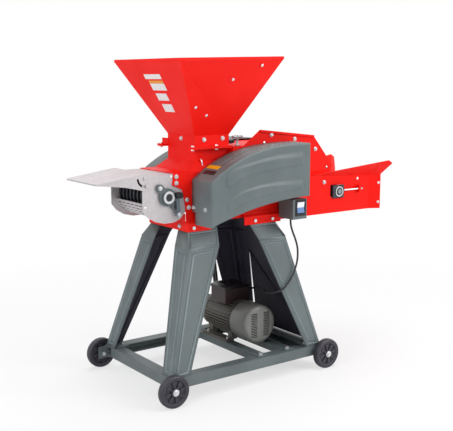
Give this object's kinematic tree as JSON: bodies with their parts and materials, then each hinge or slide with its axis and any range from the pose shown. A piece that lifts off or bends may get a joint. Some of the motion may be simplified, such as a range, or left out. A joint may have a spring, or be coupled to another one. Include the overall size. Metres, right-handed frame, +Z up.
{
  "type": "grass chopper",
  "caption": "Motor-driven grass chopper: square hopper over a rotor housing, feed trough with conveyor, side covers, outlet with deflector, splayed legs on a wheeled base.",
  "frame": {"origin": "on the ground under the middle of the whole machine's box", "axes": "+X towards the feed trough's mouth, +Y towards the belt side, +Z up"},
  "size_m": [1.45, 0.613, 1.291],
  "materials": {
    "red_paint": "semi-gloss",
    "grey_paint": "satin",
    "motor_paint": "satin",
    "galvanised": "satin",
    "zinc": "bright",
    "steel": "satin",
    "dark_steel": "matte",
    "cast_iron": "matte",
    "wheel_plastic": "matte",
    "black_plastic": "matte",
    "black_rubber": "matte",
    "rocker_white": "gloss"
  },
  "bodies": {
    "machine": {"base_frame": "grey_paint", "motor_rails": "grey_paint", "leg_near_left": "grey_paint", "leg_near_right": "grey_paint", "leg_far_left": "grey_paint", "leg_far_right": "grey_paint", "side_guard": "grey_paint", "frame_bolts": "zinc", "motor_body": "motor_paint", "motor_end_bells": "motor_paint", "fan_cowl": "motor_paint", "terminal_box": "black_plastic", "terminal_lid": "black_plastic", "cable_gland": "black_plastic", "motor_cord": "black_rubber", "drive_belts": "black_rubber", "outlet_belt": "black_rubber", "machine_bed": "red_paint", "side_plate_near": "red_paint", "side_plate_far": "red_paint", "roof_shell": "red_paint", "feed_hood": "red_paint", "gear_cover": "grey_paint", "belt_cover": "grey_paint", "rotor_bearings": "cast_iron", "sieve_screen": "galvanised", "hopper": "red_paint", "hopper_neck": "red_paint", "feed_trough": "red_paint", "conveyor_belt": "black_rubber", "tension_bolts": "zinc", "feed_chains": "dark_steel", "outlet_casing": "galvanised", "outlet_screen": "galvanised", "outlet_bearings": "cast_iron", "switch_box": "grey_paint"},
    "rotor": {"rotor_shaft": "steel", "rotor_knives": "steel", "hammer_sets": "steel", "rotor_pulley": "cast_iron"},
    "motor_rotor": {"motor_shaft": "steel", "motor_fan": "black_plastic", "motor_pulley": "cast_iron"},
    "outlet_rotor": {"outlet_drum": "dark_steel", "outlet_pulley": "cast_iron"},
    "lower_feed": {"lower_roller": "dark_steel"},
    "carriers": {"roller_carriers": "steel"},
    "upper_feed": {"upper_roller": "dark_steel"},
    "head": {"head_roller": "steel"},
    "takeup": {"takeup_bearings": "cast_iron"},
    "tail": {"tail_roller": "steel"},
    "wheel_nl": {"wheel_near_left": "wheel_plastic"},
    "wheel_nr": {"wheel_near_right": "wheel_plastic"},
    "wheel_fl": {"wheel_far_left": "wheel_plastic"},
    "wheel_fr": {"wheel_far_right": "wheel_plastic"},
    "gate": {"slide_gate": "black_plastic"},
    "screw": {"clamp_screw": "steel"},
    "deflector": {"deflector_hood": "galvanised"},
    "lever": {"lock_lever": "black_plastic"},
    "rocker": {"switch_rocker": "rocker_white"}
  },
  "joints": [
    {"name": "rotor_spin", "type": "hinge", "parent": "machine", "child": "rotor", "pos_m": [-0.105, 0, 0.8], "axis": [0, 1, 0], "continuous": true},
    {"name": "motor_spin", "type": "hinge", "parent": "machine", "child": "motor_rotor", "pos_m": [0.016, 0, 0.193], "axis": [0, 1, 0], "continuous": true},
    {"name": "outlet_spin", "type": "hinge", "parent": "machine", "child": "outlet_rotor", "pos_m": [-0.428, 0, 0.763], "axis": [0, 1, 0], "continuous": true},
    {"name": "lower_roller_spin", "type": "hinge", "parent": "machine", "child": "lower_feed", "pos_m": [0.08, 0, 0.785], "axis": [0, 1, 0], "continuous": true},
    {"name": "upper_roller_lift", "type": "slide", "parent": "machine", "child": "carriers", "axis": [0, 0, 1], "range_m": [0, 0.025]},
    {"name": "upper_roller_spin", "type": "hinge", "parent": "carriers", "child": "upper_feed", "pos_m": [0.08, 0, 0.871], "axis": [0, 1, 0], "continuous": true},
    {"name": "head_roller_spin", "type": "hinge", "parent": "machine", "child": "head", "pos_m": [0.147, 0, 0.775], "axis": [0, 1, 0], "continuous": true},
    {"name": "takeup_slide", "type": "slide", "parent": "machine", "child": "takeup", "axis": [0.9837, 0, -0.18], "range_m": [-0.015, 0]},
    {"name": "tail_roller_spin", "type": "hinge", "parent": "takeup", "child": "tail", "pos_m": [0.453, 0, 0.719], "axis": [0, 1, 0], "continuous": true},
    {"name": "wheel_near_left_spin", "type": "hinge", "parent": "machine", "child": "wheel_nl", "pos_m": [-0.506, -0.2835, 0.0625], "axis": [0, 1, 0], "continuous": true},
    {"name": "wheel_near_right_spin", "type": "hinge", "parent": "machine", "child": "wheel_nr", "pos_m": [0.256, -0.2835, 0.0625], "axis": [0, 1, 0], "continuous": true},
    {"name": "wheel_far_left_spin", "type": "hinge", "parent": "machine", "child": "wheel_fl", "pos_m": [-0.506, 0.2835, 0.0625], "axis": [0, 1, 0], "continuous": true},
    {"name": "wheel_far_right_spin", "type": "hinge", "parent": "machine", "child": "wheel_fr", "pos_m": [0.256, 0.2835, 0.0625], "axis": [0, 1, 0], "continuous": true},
    {"name": "slide_gate_travel", "type": "slide", "parent": "machine", "child": "gate", "axis": [1, 0, 0], "range_m": [0, 0.03]},
    {"name": "clamp_screw_turn", "type": "hinge", "parent": "machine", "child": "screw", "pos_m": [-0.085, -0.108, 0.941], "axis": [0, 0, 1], "range_deg": [-180, 180]},
    {"name": "deflector_tilt", "type": "hinge", "parent": "machine", "child": "deflector", "pos_m": [-0.522, 0, 0.84], "axis": [0, -1, 0], "range_deg": [0, 40]},
    {"name": "lock_lever_swing", "type": "hinge", "parent": "machine", "child": "lever", "pos_m": [-0.384, -0.13, 0.695], "axis": [0, 1, 0], "range_deg": [0, 25]},
    {"name": "switch_rocker_tilt", "type": "hinge", "parent": "machine", "child": "rocker", "pos_m": [0.14, -0.229, 0.688], "axis": [1, 0, 0], "range_deg": [-8, 8]}
  ],
  "couplings": [
    {"joint": "motor_spin", "follows": "rotor_spin", "ratio": 2},
    {"joint": "outlet_spin", "follows": "rotor_spin", "ratio": 1.122},
    {"joint": "lower_roller_spin", "follows": "rotor_spin", "ratio": 0.64706},
    {"joint": "upper_roller_spin", "follows": "rotor_spin", "ratio": -0.64706},
    {"joint": "head_roller_spin", "follows": "rotor_spin", "ratio": 0.64706},
    {"joint": "tail_roller_spin", "follows": "rotor_spin", "ratio": 0.64706}
  ]
}
